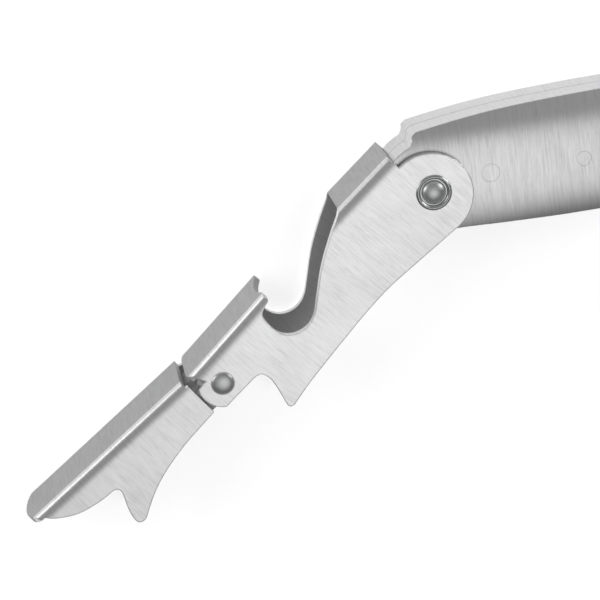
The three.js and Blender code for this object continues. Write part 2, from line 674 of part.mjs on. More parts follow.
// A closed tube through centres whose radius may change, with rings that never twist
function tubeGeometry(centres, radii) {
  const positions = [];
  const faces = [];
  const normal = new THREE.Vector3(0, 0, 1);
  centres.forEach((centre, i) => {
    const before = centres[Math.max(0, i - 1)];
    const after = centres[Math.min(centres.length - 1, i + 1)];
    const along = new THREE.Vector3().subVectors(after, before).normalize();
    normal.addScaledVector(along, -normal.dot(along)).normalize();
    const side = new THREE.Vector3().crossVectors(along, normal);
    for (let k = 0; k < WIRE_SIDES; k += 1) {
      const angle = (k / WIRE_SIDES) * 2 * Math.PI;
      const point = centre.clone();
      point.addScaledVector(normal, radii[i] * Math.cos(angle));
      point.addScaledVector(side, radii[i] * Math.sin(angle));
      positions.push(point.x, point.y, point.z);
    }
  });
  for (let i = 0; i + 1 < centres.length; i += 1) {
    for (let k = 0; k < WIRE_SIDES; k += 1) {
      const a = i * WIRE_SIDES + k;
      const b = i * WIRE_SIDES + ((k + 1) % WIRE_SIDES);
      faces.push(a, b, b + WIRE_SIDES, a, b + WIRE_SIDES, a + WIRE_SIDES);
    }
  }
  const last = (centres.length - 1) * WIRE_SIDES;
  for (let k = 1; k + 1 < WIRE_SIDES; k += 1) {
    faces.push(0, k + 1, k, last, last + k, last + k + 1);
  }
  const geometry = new THREE.BufferGeometry();
  geometry.setAttribute("position", new THREE.Float32BufferAttribute(positions, 3));
  geometry.setIndex(faces);
  return geometry;
}

function wormHub() {
  const barrel = ring(0, 0, WORM_PIN_RADIUS + RUNNING_GAP, WORM_RADIUS, -HUB_HALF, HUB_HALF);
  const socketRadius = WIRE_RADIUS + SHANK_SOCKET_GAP;
  const length = SHANK_SOCKET_DEPTH + OVERRUN;
  const geometry = new THREE.CylinderGeometry(socketRadius, socketRadius, length, ROUND_SIDES);
  geometry.rotateZ(Math.PI / 2).translate(WORM_RADIUS - SHANK_SOCKET_DEPTH + length / 2, 0, 0);
  return cut(barrel, solidOf(geometry));
}

// Blade about its pivot, folded: a round tang and a blade with a ground edge
function foilKnife() {
  const lift = (point) => point.setY(point.y + BLADE_FLOOR);
  const back = scaled(BLADE_BACK_SHARES, KNIFE_LENGTH, BLADE_HEIGHT).map(lift);
  const edge = scaled(BLADE_EDGE_SHARES, KNIFE_LENGTH, BLADE_HEIGHT).map(lift);
  const half = KNIFE_THICKNESS / 2;
  const tangTop = Math.PI / 2;
  const tangRoot = Math.PI - Math.asin(BLADE_FLOOR / TANG_RADIUS);
  const outline = new THREE.Shape()
    .moveTo(0, TANG_RADIUS)
    .splineThru(back)
    .splineThru(edge)
    .absarc(0, 0, TANG_RADIUS, tangRoot, tangTop + 2 * Math.PI, false);
  const body = plate(outline, -half, half);
  const hole = disc(0, 0, KNIFE_PIN_RADIUS + RUNNING_GAP, -OVERRUN, OVERRUN);
  const nick = back[back.length - 2];
  const nickUp = nick.y + NAIL_NICK_RADIUS / 2;
  const scoop = disc(nick.x, nickUp, NAIL_NICK_RADIUS, half - NAIL_NICK_DEPTH, OVERRUN);
  return cut(body, hole, scoop, ...bladeBevels(half));
}

// Two sloping cutters that thin the blade towards its edge
function bladeBevels(half) {
  const slope = (half - KNIFE_EDGE_THICKNESS / 2) / KNIFE_BEVEL_HEIGHT;
  const bevelTop = BLADE_FLOOR + KNIFE_BEVEL_HEIGHT;
  const foot = BLADE_FLOOR - OVERRUN;
  const from = -KNIFE_LENGTH - OVERRUN;
  const to = -TANG_RADIUS - KNIFE_BEVEL_HEIGHT;
  const section = new THREE.Shape()
    .moveTo(half, bevelTop)
    .lineTo(half - slope * KNIFE_BEVEL_HEIGHT, BLADE_FLOOR)
    .lineTo(half - slope * KNIFE_BEVEL_HEIGHT, foot)
    .lineTo(half + OVERRUN, foot)
    .lineTo(half + OVERRUN, bevelTop);
  const settings = { depth: to - from, bevelEnabled: false };
  const geometry = new THREE.ExtrudeGeometry(section, settings).rotateY(Math.PI / 2).translate(from, 0, 0);
  const lower = solidOf(geometry);
  return [lower, lower.mirror([0, 0, 1])];
}

// Leaf spring between worm and knife, held by a tab in each wall
function backSpring() {
  const high = SPRING_BOTTOM + SPRING_THICKNESS;
  const front = WORM_PIVOT_ALONG - WORM_PIN_RADIUS;
  const rearDrop = (SPRING_BOTTOM + high) / 2 - KNIFE_PIVOT_UP;
  const rear = KNIFE_PIVOT_ALONG - Math.sqrt(TANG_RADIUS ** 2 - rearDrop ** 2) - SPRING_END_GAP;
  const half = SPRING_WIDTH / 2;
  const leaf = block(front, rear, SPRING_BOTTOM, high, -half, half);
  const tabLeft = SPRING_TAB_ALONG - SPRING_TAB_LENGTH / 2;
  const tabRight = SPRING_TAB_ALONG + SPRING_TAB_LENGTH / 2;
  const tabHalf = CAVITY_HALF + SPRING_TAB_DEPTH - RUNNING_GAP;
  return join(leaf, block(tabLeft, tabRight, SPRING_BOTTOM, high, -tabHalf, tabHalf));
}

// Collar: a dished flange on the lever cheek with a barrel that the lever turns on
function pivotCollar() {
  const bore = PIVOT_SHANK_RADIUS + RUNNING_GAP;
  const face = LEVER_HALF + COLLAR_HEIGHT;
  const dish = LEVER_HALF - COLLAR_DISH_DEPTH;
  const rim = PIVOT_HEAD_RADIUS + COLLAR_MOAT;
  const crest = (rim + COLLAR_RADIUS) / 2;
  return turned([
    [bore, HANDLE_HALF],
    [COLLAR_BARREL_RADIUS, HANDLE_HALF],
    [COLLAR_BARREL_RADIUS, LEVER_HALF],
    [COLLAR_RADIUS, LEVER_HALF],
    [COLLAR_RADIUS, LEVER_HALF + COLLAR_HEIGHT / 2],
    [crest, face],
    [rim, LEVER_HALF + COLLAR_HEIGHT / 2],
    [rim, dish],
    [bore, dish],
    [bore, HANDLE_HALF],
  ]);
}

// A mesh for the upper side, and the same mesh turned over for the lower side
function pair(name, solid, material) {
  const upper = meshOf(`${name}_upper`, solid, material);
  const lower = meshOf(`${name}_lower`, solid, material);
  lower.scale.z = -1;
  return [upper, lower];
}

function handleParts() {
  const group = new THREE.Group();
  const dish = LEVER_HALF - COLLAR_DISH_DEPTH;
  const pivotRivet = domedRivet(PIVOT_SHANK_RADIUS, PIVOT_HEAD_RADIUS, dish, PIVOT_HEAD_HEIGHT);
  const bushBore = PIVOT_SHANK_RADIUS + RUNNING_GAP;
  const pivotBush = ring(0, 0, bushBore, PIVOT_BUSH_RADIUS, -CAVITY_HALF, CAVITY_HALF);
  const washerBore = COLLAR_BARREL_RADIUS + RUNNING_GAP;
  const pivotWasher = ring(0, 0, washerBore, PIVOT_WASHER_RADIUS, HANDLE_HALF, LEVER_INNER_HALF);
  const flush = HANDLE_HALF - FLUSH_INSET;
  const frontRivet = disc(FRONT_RIVET_ALONG, FRONT_RIVET_UP, FRONT_RIVET_RADIUS, -flush, flush);
  const rearRivet = disc(REAR_RIVET_ALONG, -REAR_RIVET_DOWN, REAR_RIVET_RADIUS, -flush, flush);
  const wormPin = disc(WORM_PIVOT_ALONG, WORM_HEIGHT, WORM_PIN_RADIUS, -flush, flush);
  const frontSpacer = ring(
    FRONT_RIVET_ALONG,
    FRONT_RIVET_UP,
    FRONT_RIVET_RADIUS + RUNNING_GAP,
    FRONT_SPACER_RADIUS,
    -CAVITY_HALF,
    CAVITY_HALF,
  );
  const rearSpacer = ring(
    REAR_RIVET_ALONG,
    -REAR_RIVET_DOWN,
    REAR_RIVET_RADIUS + RUNNING_GAP,
    REAR_SPACER_RADIUS,
    -CAVITY_HALF,
    CAVITY_HALF,
  );
  const wormWasher = ring(
    WORM_PIVOT_ALONG,
    WORM_HEIGHT,
    WORM_PIN_RADIUS + RUNNING_GAP,
    WORM_WASHER_RADIUS,
    HUB_HALF,
    CAVITY_HALF,
  );
  const knifeRivet = domedRivet(
    KNIFE_PIN_RADIUS,
    KNIFE_HEAD_RADIUS,
    HANDLE_HALF,
    KNIFE_HEAD_HEIGHT,
    KNIFE_PIVOT_ALONG,
    KNIFE_PIVOT_UP,
  );
  const knifeSpacer = ring(
    KNIFE_PIVOT_ALONG,
    KNIFE_PIVOT_UP,
    KNIFE_PIN_RADIUS + RUNNING_GAP,
    KNIFE_SPACER_RADIUS,
    KNIFE_THICKNESS / 2 + RUNNING_GAP,
    CAVITY_HALF,
  );
  group.add(
    ...pair("handle_shell", handleShell(), BRUSHED),
    meshOf("pivot_rivet", pivotRivet, RIVET_STEEL),
    meshOf("pivot_bush", pivotBush, HIDDEN_STEEL),
    ...pair("pivot_collar", pivotCollar(), RIVET_STEEL),
    ...pair("pivot_washer", pivotWasher, HIDDEN_STEEL),
    meshOf("front_rivet", frontRivet, BRUSHED),
    meshOf("front_spacer", frontSpacer, HIDDEN_STEEL),
    meshOf("rear_rivet", rearRivet, BRUSHED),
    meshOf("rear_spacer", rearSpacer, HIDDEN_STEEL),
    meshOf("worm_pin", wormPin, BRUSHED),
    ...pair("worm_washer", wormWasher, HIDDEN_STEEL),
    meshOf("knife_rivet", knifeRivet, RIVET_STEEL),
    ...pair("knife_spacer", knifeSpacer, HIDDEN_STEEL),
    meshOf("back_spring", backSpring(), HIDDEN_STEEL),
  );
  return group;
}

function secondLeverParts() {
  const group = new THREE.Group();
  group.position.set(-HINGE_REACH, HINGE_HEIGHT, 0);
  group.rotation.z = rad(SECOND_TILT_DEG);
  const bore = HINGE_SHANK_RADIUS + RUNNING_GAP;
  const spacer = ring(0, 0, bore, HINGE_SPACER_RADIUS, -LUG_INNER, LUG_INNER);
  group.add(
    meshOf("second_lever", secondLever(), WEB_STEEL),
    meshOf("hinge_spacer", spacer, HIDDEN_STEEL),
  );
  return group;
}

function leverParts() {
  const group = new THREE.Group();
  group.rotation.z = rad(LEVER_OPEN_DEG);
  const rivet = domedRivet(
    HINGE_SHANK_RADIUS,
    HINGE_HEAD_RADIUS,
    LEVER_HALF,
    HINGE_HEAD_HEIGHT,
    -HINGE_REACH,
    HINGE_HEIGHT,
  );
  group.add(
    meshOf("first_lever", firstLever(), WEB_STEEL),
    meshOf("hinge_rivet", rivet, RIVET_STEEL),
    secondLeverParts(),
  );
  return group;
}

function wormParts() {
  const group = new THREE.Group();
  group.position.set(WORM_PIVOT_ALONG, WORM_HEIGHT, 0);
  group.add(meshOf("worm", wormWire(), POLISHED), meshOf("worm_hub", wormHub(), HIDDEN_STEEL));
  return group;
}

function knifeParts() {
  const group = new THREE.Group();
  group.position.set(KNIFE_PIVOT_ALONG, KNIFE_PIVOT_UP, 0);
  group.add(meshOf("foil_knife", foilKnife(), BLADE_STEEL));
  return group;
}

const corkscrew = new THREE.Group();
corkscrew.name = "corkscrew";
const assembly = new THREE.Group();
assembly.add(handleParts(), leverParts(), wormParts(), knifeParts());
const box = new THREE.Box3().setFromObject(assembly, true);
const middle = box.getCenter(new THREE.Vector3());
assembly.position.set(-middle.x, -middle.y, -box.min.z);
corkscrew.add(assembly);

export default corkscrew;
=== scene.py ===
import json
import math

import bmesh
import bpy
from mathutils import Matrix, Vector
from mathutils.bvhtree import BVHTree

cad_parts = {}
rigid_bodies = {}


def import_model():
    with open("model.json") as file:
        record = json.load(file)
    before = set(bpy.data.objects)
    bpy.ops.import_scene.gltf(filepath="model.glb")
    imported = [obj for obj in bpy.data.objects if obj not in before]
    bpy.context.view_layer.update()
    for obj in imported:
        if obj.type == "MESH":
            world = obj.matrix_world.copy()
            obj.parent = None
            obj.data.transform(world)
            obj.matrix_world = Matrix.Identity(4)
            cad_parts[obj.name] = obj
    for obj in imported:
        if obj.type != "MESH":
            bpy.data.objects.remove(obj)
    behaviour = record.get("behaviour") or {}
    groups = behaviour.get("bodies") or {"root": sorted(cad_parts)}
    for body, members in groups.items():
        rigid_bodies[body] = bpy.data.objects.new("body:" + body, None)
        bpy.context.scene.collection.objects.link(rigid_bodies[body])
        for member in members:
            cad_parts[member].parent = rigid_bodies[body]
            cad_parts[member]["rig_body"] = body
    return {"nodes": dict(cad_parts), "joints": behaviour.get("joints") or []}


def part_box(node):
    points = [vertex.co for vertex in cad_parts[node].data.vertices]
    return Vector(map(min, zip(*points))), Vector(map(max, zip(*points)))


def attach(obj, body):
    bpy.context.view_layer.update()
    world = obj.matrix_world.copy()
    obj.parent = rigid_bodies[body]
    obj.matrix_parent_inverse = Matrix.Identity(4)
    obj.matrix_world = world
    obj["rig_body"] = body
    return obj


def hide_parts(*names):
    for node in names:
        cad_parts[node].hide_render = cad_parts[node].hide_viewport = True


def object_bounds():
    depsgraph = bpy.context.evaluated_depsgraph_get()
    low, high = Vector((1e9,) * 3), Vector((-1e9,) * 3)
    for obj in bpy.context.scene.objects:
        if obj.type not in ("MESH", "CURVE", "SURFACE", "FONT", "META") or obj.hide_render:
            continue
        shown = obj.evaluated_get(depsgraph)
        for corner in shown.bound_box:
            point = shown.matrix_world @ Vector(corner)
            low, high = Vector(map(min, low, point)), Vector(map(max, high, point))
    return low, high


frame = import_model()
CAD_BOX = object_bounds()

# Everything is in metres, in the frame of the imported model: the corkscrew lies on its side,
# +Z goes through its thickness and +X runs along the handle to its rear end.
MM = 0.001

# Camera: the photograph's focal length in pixels, where lines square to the sides meet,
# the slope of the handle's length, and the pixel and distance of the lever pivot
PICTURE_PX = 600
FOCAL_PX = 2308
SQUARE_LINES_MEET_PX = (-344.6, 716.0)
LENGTH_SLOPE_DEG = 10.2
PIVOT_PX = (134.0, 107.4)
PIVOT_DISTANCE = 401.39 * MM
SENSOR_WIDTH_MM = 36
CLIP_START = 0.01
CLIP_END = 20

# Turn of the first lever from the handle's length and of the second from the first
LEVER_OPEN_DEG = 40.1
SECOND_TILT_DEG = -5.8

# Colour and roughness of each steel
HANDLE_STEEL = ((0.80, 0.80, 0.805), 0.30)
FIRST_LEVER_STEEL = ((0.94, 0.94, 0.945), 0.31)
SECOND_LEVER_STEEL = ((0.91, 0.91, 0.915), 0.31)
BLADE_STEEL = ((0.82, 0.825, 0.83), 0.22)
RIVET_STEEL = ((0.74, 0.745, 0.75), 0.34)
COLLAR_STEEL = ((0.66, 0.665, 0.67), 0.24)
PLAIN_STEEL = ((0.62, 0.63, 0.64), 0.38)
WORM_STEEL = ((0.82, 0.83, 0.84), 0.16)

# Mesh clean-up, and the easing of edges in the mesh
WELD = 0.002 * MM
FLAT_DEG = 0.4
SHARP_DEG = 32
EASING_SEGMENTS = 2
SHEET_EDGE = 0.07 * MM
SHELL_EDGE = 0.1 * MM
BLADE_EDGE = 0.05 * MM
TURNED_EDGE = 0.08 * MM
SPIKE_SHARE = 0.5

# Edges that stay crisp: round the flush rivets' holes and where the shells meet
CRISP_SHARE = 0.15
HOLE_REACH = 0.3 * MM
SEAM_REACH = 0.1 * MM

# Easing of edges that only the shading shows
SHEET_SOFTNESS = 0.32 * MM
SHELL_SOFTNESS = 0.3 * MM
SOFT_SAMPLES = 6

# The handle's wall bows outward: middle line, half width and how far it leans at its edges
CROWN_MIDDLE = 20 * MM
CROWN_HALF = 11 * MM
CROWN_POWER = 2
CROWN_LEAN = 0.3

# The channels' inner faces are duller and rougher than the brushed outside, and their colour is darkened as
# painted shade
SHEET_THICKNESS = 1.3 * MM
INSIDE_SLACK = 0.05 * MM
INSIDE_PAINTED_SHADE = 0.66
INSIDE_ROUGHER = 0.2
INSIDE_METAL_LOSS = 0.6

# Painted shade for the dark line where the two halves of the handle meet: its half width and how dark it
# makes the colour
SEAM_HALF = 0.06 * MM
SEAM_PAINTED_SHADE = 0.10

# Brushed grain: fine lines, wider bands and a cloudy wear, and what they do to the steel.
# The scales of clouds, scratches and stains count per metre.
LINE_WIDTH = 0.035 * MM
LINE_LENGTH = 1.7 * MM
LINE_DETAIL = 3
LINE_ROUGHNESS = 0.65
LINE_SHARE = 0.65
BAND_WIDER = 9
BAND_LONGER = 3
BAND_DETAIL = 2
CLOUD_SCALE = 60
CLOUD_DETAIL = 2
GRAIN_STOPS = (0.3, 0.5, 0.7)
GRAIN_DARK = 0.77
GRAIN_LIGHT = 1.08
GRAIN_ROUGHEST = 1.2
GRAIN_SMOOTHEST = 0.85
WEAR_FROM_GRAIN = 0.7
GRAIN_DEPTH = 0.02 * MM
ANISOTROPY = 0.55
SHEET_BUMP = 0.10
BLADE_BUMP = 0.08

# Turned steel: fine scratches all ways, and cloudy stains
SCRATCH_SCALE = 9000
SCRATCH_DETAIL = 2
STAIN_SCALE = 500
STAIN_DETAIL = 3
STAIN_STOPS = (0.3, 0.65)
STAIN_DARK = 0.88
STAIN_SMOOTHEST = 0.8
STAIN_ROUGHEST = 1.3
TURNED_BUMP = 0.06

# Floor: white, with a glow that the camera sees and a weaker one that shiny steel mirrors
FLOOR_HALF = 3
FLOOR_GAP = 0.02 * MM
FLOOR_WHITE = 0.86
FLOOR_ROUGHNESS = 0.9
FLOOR_GLOW = 0.68
FLOOR_SHINE = 0.40

# Lamps: name, place, size and watts. All aim at the frame's origin.
LAMPS = [
    ("softbox_over", (0.10, -0.20, 0.86), 0.40, 0.15),
    ("softbox_left", (-0.75, 0.35, 0.55), 0.45, 1.2),
    ("softbox_right", (0.80, 0.30, 0.60), 0.40, 1.4),
]

# The light tent's brightness by height, by facing and by nearness to the glow
UP = (0, 0, 1)
SIDE_STOPS = [(0.0, 0.42), (0.3, 0.26), (0.5, 0.10), (0.8, 0.12), (0.95, 0.27)]
WALL_STOPS = [(0.0, 0.66), (0.28, 0.70), (0.45, 0.27), (0.85, 0.23), (0.97, 0.34)]
WALL_TOWARDS = (-0.35, 0.94, 0)
WALL_FADE_STOPS = [(0.1, 0.0), (0.5, 1.0)]
GLOW_TOWARDS = (0.10, -0.31, 0.945)
GLOW_STOPS = [(0.925, 0.0), (0.975, 0.49), (0.995, 0.58)]

JOINTS = {joint["name"]: joint for joint in frame["joints"]}
PIVOT = Vector(JOINTS["lever_pivot"]["pos_m"])
LEVER_LOW, LEVER_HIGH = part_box("first_lever")
INSIDE_REACH = (LEVER_HIGH.z - LEVER_LOW.z) / 2 - SHEET_THICKNESS + INSIDE_SLACK

SHELLS = ("handle_shell_upper", "handle_shell_lower")
FLUSH_RIVETS = ("front_rivet", "rear_rivet", "worm_pin")


def hole_about(node):
    """Centre of a flush rivet's hole and the reach of what counts as its rim."""
    low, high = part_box(node)
    return (low.x + high.x) / 2, (low.y + high.y) / 2, (high.x - low.x) / 2 + HOLE_REACH


FLUSH_HOLES = [hole_about(rivet) for rivet in FLUSH_RIVETS]


def add_object(name, data):
    made = bpy.data.objects.new(name, data)
    bpy.context.scene.collection.objects.link(made)
    return made


def add_camera():
    data = bpy.data.cameras.new("camera")
    data.sensor_width = SENSOR_WIDTH_MM
    data.lens = FOCAL_PX / PICTURE_PX * SENSOR_WIDTH_MM
    data.clip_start = CLIP_START
    data.clip_end = CLIP_END
    up = -Vector((*SQUARE_LINES_MEET_PX, -FOCAL_PX)).normalized()
    slope = math.radians(LENGTH_SLOPE_DEG)
    along = Vector((math.cos(slope), math.sin(slope), 0))
    along.z = -(along.x * up.x + along.y * up.y) / up.z
    along.normalize()
    turn = Matrix((along, up.cross(along), up))
    seen_at = Vector((*PIVOT_PX, -FOCAL_PX)) * (PIVOT_DISTANCE / FOCAL_PX)
    place = Vector((PIVOT.x, PIVOT.y, LEVER_HIGH.z))
    camera = add_object("camera", data)
    camera.matrix_world = Matrix.Translation(place - turn @ seen_at) @ turn.to_4x4()
    bpy.context.scene.camera = camera


def add_lamp(name, place, size, watts):
    data = bpy.data.lights.new(name, "AREA")
    data.shape = "SQUARE"
    data.size = size
    data.energy = watts
    lamp = add_object(name, data)
    lamp.location = place
    lamp.rotation_euler = (-Vector(place)).to_track_quat("-Z", "Y").to_euler()


class Nodes:
    """A node tree with short ways to add nodes."""

    def __init__(self, owner):
        owner.use_nodes = True
        self.nodes = owner.node_tree.nodes
        self.links = owner.node_tree.links

    def add(self, kind, **settings):
        node = self.nodes.new("ShaderNode" + kind)
        for key, value in settings.items():
            setattr(node, key, value)
        return node

    def link(self, source, target):
        self.links.new(source, target)

    def fill(self, slot, value):
        """Links a slot to a socket, or sets it to a number."""
        if isinstance(value, (int, float)):
            slot.default_value = value
        else:
            self.link(value, slot)

    def math(self, operation, first, second=0):
        node = self.add("Math", operation=operation)
        for slot, value in zip(node.inputs, (first, second)):
            self.fill(slot, value)
        return node.outputs[0]

    def ramp(self, source, stops, interpolation="LINEAR"):
        node = self.add("ValToRGB")
        node.color_ramp.interpolation = interpolation
        elements = node.color_ramp.elements
        while len(elements) < len(stops):
            elements.new(1)
        for element, (position, value) in zip(elements, stops):
            element.position = position
            colour = value if isinstance(value, tuple) else (value, value, value)
            element.color = (*colour, 1)
        self.link(source, node.inputs["Fac"])
        return node.outputs["Color"]

    def mix(self, share, first, second, blend="MIX"):
        node = self.add("MixRGB", blend_type=blend)
        self.fill(node.inputs["Fac"], share)
        for slot, value in (("Color1", first), ("Color2", second)):
            if isinstance(value, (int, float)):
                node.inputs[slot].default_value = (value, value, value, 1)
            else:
                self.link(value, node.inputs[slot])
        return node.outputs["Color"]

    def texture_place(self, output="Object"):
        return self.add("TexCoord").outputs[output]

    def split_place(self):
        split = self.add("SeparateXYZ")
        self.link(self.texture_place(), split.inputs[0])
        return split.outputs

    def noise(self, vector, scale, detail):
        node = self.add("TexNoise")
        node.inputs["Scale"].default_value = scale
        node.inputs["Detail"].default_value = detail
        self.link(vector, node.inputs["Vector"])
        return node

    def vector(self, operation, first, second=None):
        """A vector operation on a socket and, where it has two sides, a socket or numbers."""
        node = self.add("VectorMath", operation=operation)
        self.link(first, node.inputs[0])
        if isinstance(second, (tuple, Vector)):
            node.inputs[1].default_value = second
        elif second is not None:
            self.link(second, node.inputs[1])
        return node.outputs

    def to_world(self, **parts):
        """A direction in the piece's own axes as a direction in the world."""
        joined = self.add("CombineXYZ")
        for axis, value in parts.items():
            self.fill(joined.inputs[axis], value)
        world = self.add("VectorTransform", vector_type="VECTOR", convert_from="OBJECT", convert_to="WORLD")
        self.link(joined.outputs["Vector"], world.inputs["Vector"])
        return world.outputs["Vector"]


def add_world():
    """A light tent: a glow overhead, a bright low wall behind the spine and darker sides."""
    world = bpy.data.worlds.new("studio")
    tent = Nodes(world)
    direction = tent.texture_place("Generated")

    def pointing(towards, stops):
        share = tent.vector("DOT_PRODUCT", direction, Vector(towards).normalized())["Value"]
        return tent.ramp(share, stops, "EASE")

    facing = pointing(WALL_TOWARDS, WALL_FADE_STOPS)
    walled = tent.mix(facing, pointing(UP, SIDE_STOPS), pointing(UP, WALL_STOPS))
    lit =tent.mix(1, walled, pointing(GLOW_TOWARDS, GLOW_STOPS), "ADD")
    seen = tent.add("LightPath").outputs["Is Camera Ray"]
    tent.link(tent.mix(seen, lit, 1), tent.nodes["Background"].inputs["Color"])
    bpy.context.scene.world = world


class Material(Nodes):
    """A node material with a Principled shader."""

    def __init__(self, name):
        self.data = bpy.data.materials.new(name)
        super().__init__(self.data)
        self.shader = self.nodes["Principled BSDF"]
        self.output = self.nodes["Material Output"]

    def set(self, name, value):
        self.shader.inputs[name].default_value = value

    def drive(self, name, source):
        self.link(source, self.shader.inputs[name])

    def bumped(self, height, strength, normal=None):
        node = self.add("Bump")
        node.inputs["Strength"].default_value = strength
        node.inputs["Distance"].default_value = GRAIN_DEPTH
        self.link(height, node.inputs["Height"])
        if normal is not None:
            self.link(normal, node.inputs["Normal"])
        return node.outputs["Normal"]

    def roughness(self, source, low, high, start=0, end=1):
        """Roughness that goes from low to high while the source goes from start to end."""
        node = self.add("MapRange")
        node.inputs["From Min"].default_value = start
        node.inputs["From Max"].default_value = end
        node.inputs["To Min"].default_value = low
        node.inputs["To Max"].default_value = high
        self.link(source, node.inputs["Value"])
        return node.outputs["Result"]


def scaled(colour, share):
    return tuple(min(1, part * share) for part in colour)


def grain_vector(material, turn_deg, fine, coarse):
    """Object coordinates squeezed so that noise draws lines square to a direction."""
    mapping = material.add("Mapping")
    mapping.inputs["Rotation"].default_value = (0, 0, -math.radians(turn_deg))
    material.link(material.texture_place(), mapping.inputs["Vector"])
    squeeze = (1 / fine, 1 / coarse, 1 / coarse)
    return material.vector("MULTIPLY", mapping.outputs["Vector"], squeeze)["Vector"]


def crowned_normal(material, normal):
    """The normal tilted away from a middle line, as on a pressed wall that bows outward."""
    off = material.math("SUBTRACT", material.split_place()["Y"], CROWN_MIDDLE)
    across = material.math("DIVIDE", off, CROWN_HALF)
    bow = material.math("POWER", material.math("ABSOLUTE", across), CROWN_POWER)
    lean = material.math("MULTIPLY", bow, CROWN_LEAN)
    signed = material.math("MULTIPLY", lean, material.math("SIGN", across))
    total = material.vector("ADD", normal, material.to_world(Y=signed))["Vector"]
    return material.vector("NORMALIZE", total)["Vector"]


def middle_mask(material, reach):
    """1 on what lies nearer than a reach to the middle plane, 0 elsewhere."""
    off = material.math("SUBTRACT", material.split_place()["Z"], PIVOT.z)
    return material.math("LESS_THAN", material.math("ABSOLUTE", off), reach)


def soft_normal(material, softness):
    """The normal rounded over at edges."""
    soft = material.add("Bevel", samples=SOFT_SAMPLES)
    soft.inputs["Radius"].default_value = softness
    return soft.outputs["Normal"]


def kept_sharp(material, normal):
    """The eased normal, but the plain one round the flush rivets' holes."""
    flat = material.vector("MULTIPLY", material.texture_place(), (1, 1, 0))["Vector"]
    near = 0
    for x, y, reach in FLUSH_HOLES:
        gap = material.vector("DISTANCE", flat, (x, y, 0))["Value"]
        near = material.math("MAXIMUM", near, material.math("LESS_THAN", gap, reach + SHELL_SOFTNESS))
    return material.mix(near, normal, material.add("NewGeometry").outputs["Normal"])


def brushed_grain(material, turn_deg):
    """Fine lines mixed with wider bands, and the same mixed with a cloudy wear."""
    lines = material.noise(grain_vector(material, turn_deg, LINE_WIDTH, LINE_LENGTH), 1, LINE_DETAIL)
    lines.inputs["Roughness"].default_value = LINE_ROUGHNESS
    wide = grain_vector(material, turn_deg, LINE_WIDTH * BAND_WIDER, LINE_LENGTH * BAND_LONGER)
    bands = material.noise(wide, 1, BAND_DETAIL)
    cloud = material.noise(material.texture_place(), CLOUD_SCALE, CLOUD_DETAIL)
    line_part = material.math("MULTIPLY", lines.outputs["Fac"], LINE_SHARE)
    band_part = material.math("MULTIPLY", bands.outputs["Fac"], 1 - LINE_SHARE)
    grain = material.math("ADD", line_part, band_part)
    grain_part = material.math("MULTIPLY", grain, WEAR_FROM_GRAIN)
    cloud_part = material.math("MULTIPLY", cloud.outputs["Fac"], 1 - WEAR_FROM_GRAIN)
    return grain, material.math("ADD", grain_part, cloud_part)


def brushed(name, steel, turn_deg):
    """Steel brushed square to the direction that is turned from +X by turn_deg.

    Gives the material with its grain, tint and roughness, which aren't linked to its shader yet.
    """
    colour, roughness = steel
    material = Material(name)
    material.set("Metallic", 1)
    material.set("Anisotropic", ANISOTROPY)
    turn = math.radians(turn_deg)
    material.drive("Tangent", material.to_world(X=math.cos(turn), Y=math.sin(turn)))
    grain, wear = brushed_grain(material, turn_deg)
    start, middle, end = GRAIN_STOPS
    stops = [(start, scaled(colour, GRAIN_DARK)), (middle, colour), (end, scaled(colour, GRAIN_LIGHT))]
    tint = material.ramp(grain, stops)
    worn = material.roughness(wear, roughness * GRAIN_ROUGHEST, roughness * GRAIN_SMOOTHEST, start, end)
    return material, grain, tint, worn


def driven(material, tint, worn, normal):
    """The material with its tint, roughness and normal linked to its shader."""
    material.drive("Base Color", tint)
    material.drive("Roughness", worn)
    material.drive("Normal", normal)
    return material.data


def handle_steel():
    """The handle's brushed sheet: walls that bow outward, soft edges and painted shade along the seam line.
    """
    material, grain, tint, worn = brushed("handle_brushed_steel", HANDLE_STEEL, 0)
    # Painted shade: a thin dark line of colour where the two halves meet, standing in for the shade in the
    # seam
    tint = material.mix(middle_mask(material, SEAM_HALF), tint, SEAM_PAINTED_SHADE, "MULTIPLY")
    soft = kept_sharp(material, soft_normal(material, SHELL_SOFTNESS))
    bowed = crowned_normal(material, material.bumped(grain, SHEET_BUMP, soft))
    return driven(material, tint, worn, bowed)


def lever_steel(name, steel, turn_deg):
    """A lever's brushed sheet: soft edges, and an inside that is duller and rougher, with painted shade
    darkening its colour.
    """
    material, grain, tint, worn = brushed(name, steel, turn_deg)
    inside = middle_mask(material, INSIDE_REACH)
    # Painted shade: the colour inside the channel is darkened where shade falls; the roughness and metal
    # loss below are the duller finish
    tint = material.mix(inside, tint, INSIDE_PAINTED_SHADE, "MULTIPLY")
    loss = material.math("MULTIPLY", inside, INSIDE_METAL_LOSS)
    material.drive("Metallic", material.math("SUBTRACT", 1, loss))
    worn = material.math("ADD", worn, material.math("MULTIPLY", inside, INSIDE_ROUGHER))
    soft = soft_normal(material, SHEET_SOFTNESS)
    return driven(material, tint, worn, material.bumped(grain, SHEET_BUMP, soft))


def blade_steel():
    """The foil knife's ground steel."""
    material, grain, tint, worn = brushed("blade_ground_steel", BLADE_STEEL, 0)
    return driven(material, tint, worn, material.bumped(grain, BLADE_BUMP))


def turned_steel(name, steel):
    """Turned or drawn steel: a soft shine with fine scratches all ways."""
    colour, roughness = steel
    material = Material(name)
    material.set("Metallic", 1)
    scratches = material.noise(material.texture_place(), SCRATCH_SCALE, SCRATCH_DETAIL).outputs["Fac"]
    stains = material.noise(material.texture_place(), STAIN_SCALE, STAIN_DETAIL).outputs["Fac"]
    start, end = STAIN_STOPS
    tint = material.ramp(stains, [(start, scaled(colour, STAIN_DARK)), (end, colour)])
    worn = material.roughness(stains, roughness * STAIN_SMOOTHEST, roughness * STAIN_ROUGHEST)
    return driven(material, tint, worn, material.bumped(scratches, TURNED_BUMP))


